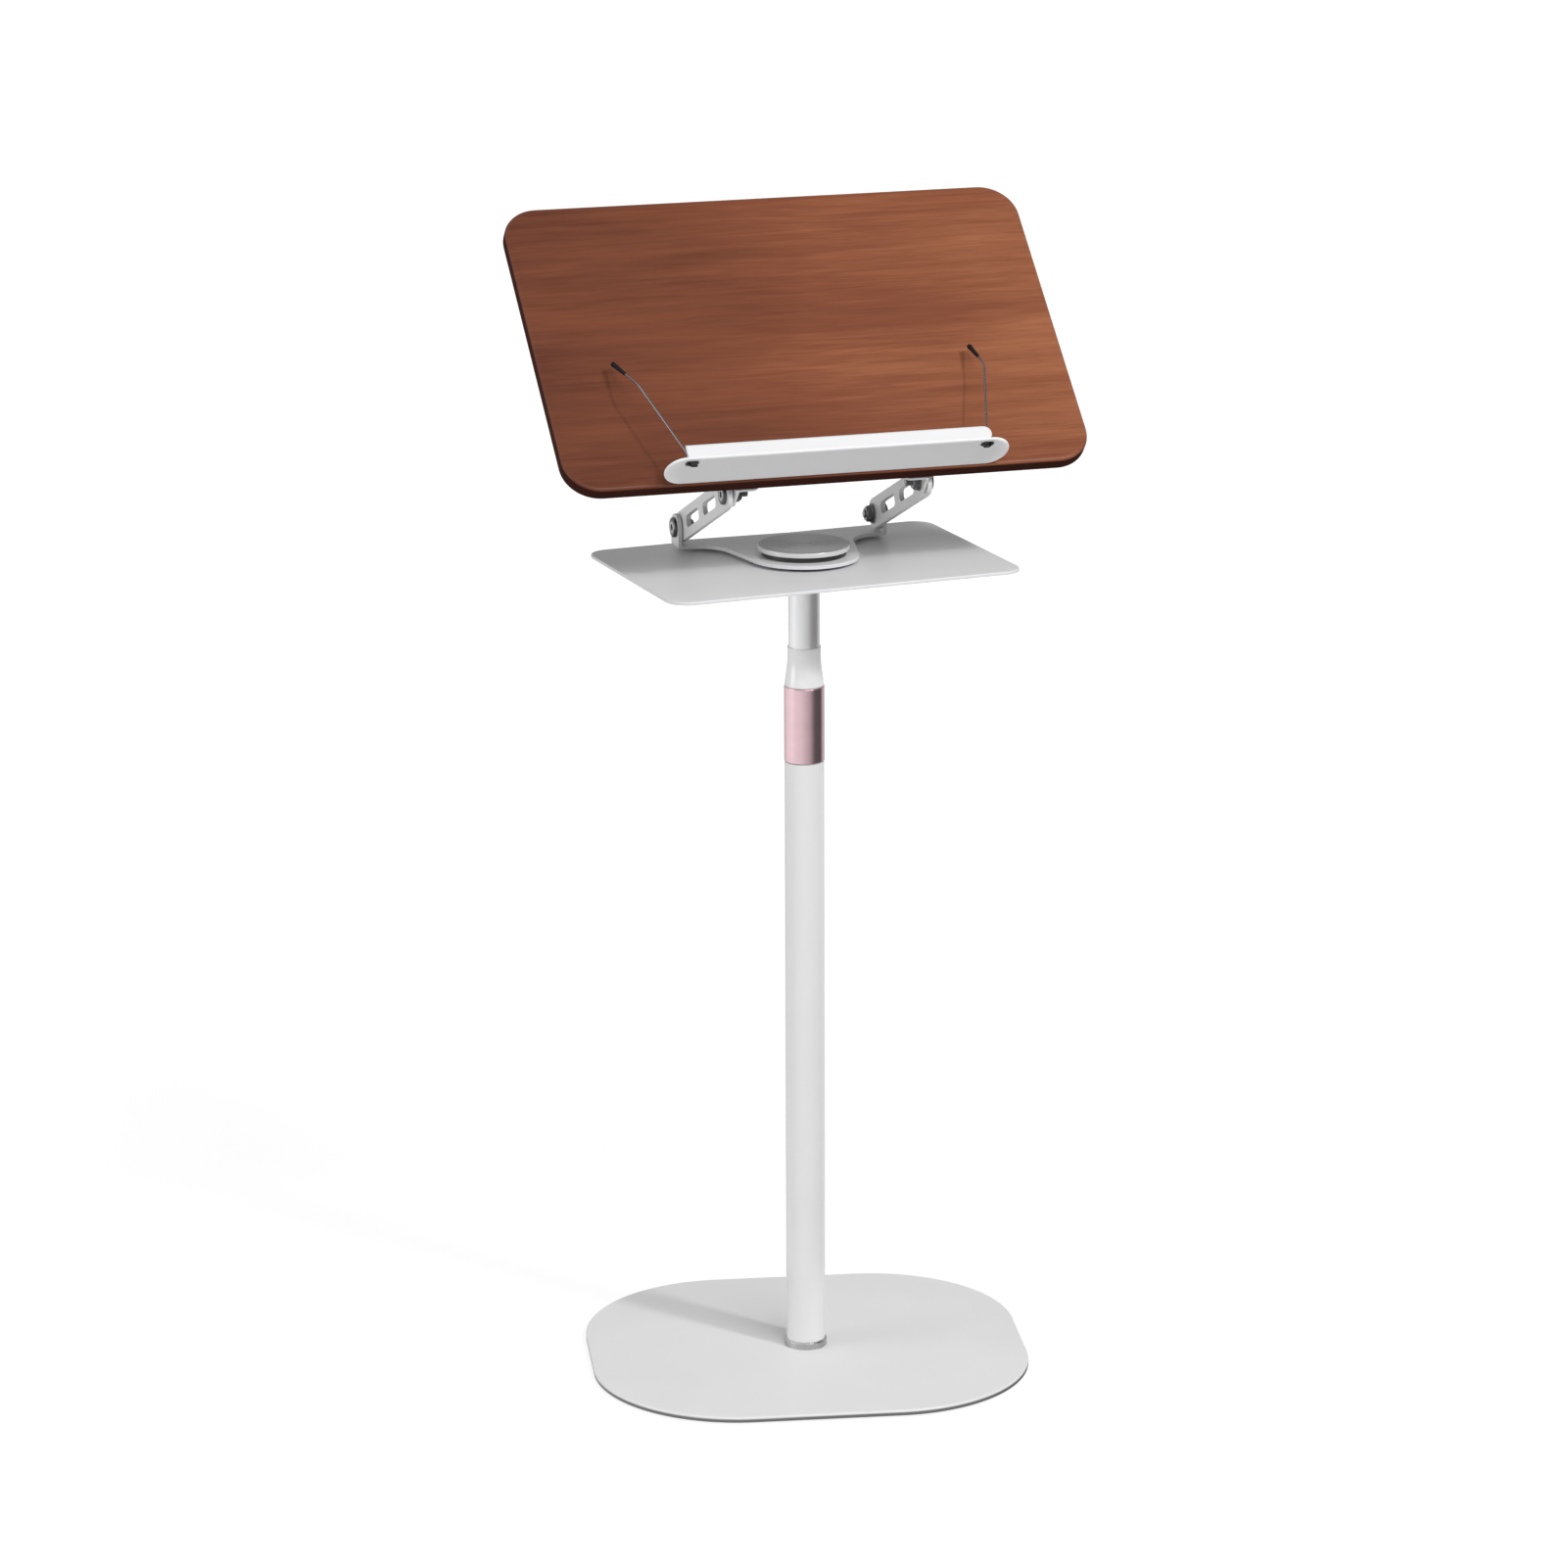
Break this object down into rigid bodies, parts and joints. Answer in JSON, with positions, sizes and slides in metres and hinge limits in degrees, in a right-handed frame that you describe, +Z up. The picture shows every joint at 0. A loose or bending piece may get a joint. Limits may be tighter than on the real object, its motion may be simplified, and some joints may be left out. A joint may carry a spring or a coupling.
{
  "type": "adjustable reading stand",
  "caption": "Floor-standing reading stand: weighted base, telescopic pole with twist lock, small shelf, swivel, lifting arms and a tilting board with ledge and page clips.",
  "frame": {"origin": "on the floor under the axis of the pole", "axes": "+Z up along the pole, -Y towards the reader, +X to the reader's right"},
  "size_m": [0.432, 0.3356, 0.9467],
  "materials": {
    "white_coat": "fine satin powder coat, off-white",
    "white_plastic": "smooth white",
    "rose_anodised": "anodised rose, fine satin",
    "walnut": "satin lacquered red-brown veneer",
    "black_steel": "black zinc",
    "bright_steel": "plain bright",
    "dark_plastic": "matt dark grey",
    "grey_nylon": "matt",
    "black_rubber": "soft black"
  },
  "bodies": {
    "stand": {"base_plate": "white_coat", "base_pads": "black_rubber", "base_bolt": "bright_steel", "tube_plug": "bright_steel", "foot_ring": "dark_plastic", "lower_tube": "white_coat", "thread_bush": "grey_nylon"},
    "lock": {"lock_collar": "rose_anodised", "collar_cone": "white_plastic"},
    "collet": {"clamp_collet": "grey_nylon"},
    "mast": {"upper_tube": "white_coat", "glide_bush": "grey_nylon", "mast_flange": "white_coat", "shelf_plate": "white_coat", "swivel_screws": "bright_steel", "swivel_hub": "bright_steel", "slip_washer": "grey_nylon", "disc_spacer": "dark_plastic", "swivel_disc": "white_coat"},
    "turntable": {"hinge_plate": "white_coat"},
    "arms": {"left_arm": "white_coat", "right_arm": "white_coat", "lower_bolts": "black_steel", "lower_nuts": "black_steel", "lower_friction_washers": "grey_nylon", "lower_inner_washers": "bright_steel", "upper_bolts": "black_steel", "upper_nuts": "black_steel", "upper_friction_washers": "grey_nylon"},
    "board": {"reading_board": "walnut", "left_bracket": "white_coat", "right_bracket": "white_coat", "bracket_screws": "black_steel", "ledge": "white_coat", "ledge_screws": "bright_steel", "clip_bushes": "dark_plastic"},
    "left_clip": {"left_clip_wire": "bright_steel", "left_clip_cap": "black_rubber"},
    "right_clip": {"right_clip_wire": "bright_steel", "right_clip_cap": "black_rubber"}
  },
  "joints": [
    {"name": "lock_turn", "type": "hinge", "parent": "stand", "child": "lock", "pos_m": [0, 0, 0.54], "axis": [0, 0, 1], "range_deg": [0, 90]},
    {"name": "mast_turn", "type": "hinge", "parent": "stand", "child": "collet", "pos_m": [0, 0, 0.55], "axis": [0, 0, 1], "continuous": true},
    {"name": "height", "type": "slide", "parent": "collet", "child": "mast", "axis": [0, 0, 1], "range_m": [-0.06, 0.3]},
    {"name": "swivel", "type": "hinge", "parent": "mast", "child": "turntable", "pos_m": [0, 0, 0.675], "axis": [0, 0, 1], "continuous": true},
    {"name": "arm_lift", "type": "hinge", "parent": "turntable", "child": "arms", "pos_m": [0, 0.067, 0.693], "axis": [-1, 0, 0], "range_deg": [-20, 66]},
    {"name": "board_tilt", "type": "hinge", "parent": "arms", "child": "board", "pos_m": [0, -0.05999, 0.74599], "axis": [1, 0, 0], "range_deg": [-60, 35]},
    {"name": "left_clip_swing", "type": "hinge", "parent": "board", "child": "left_clip", "pos_m": [-0.1241, -0.10288, 0.78167], "axis": [0, 0.7443, 0.6678], "range_deg": [-6, 240]},
    {"name": "right_clip_swing", "type": "hinge", "parent": "board", "child": "right_clip", "pos_m": [0.1211, -0.10288, 0.78167], "axis": [0, -0.7443, -0.6678], "range_deg": [-12, 294]}
  ]
}
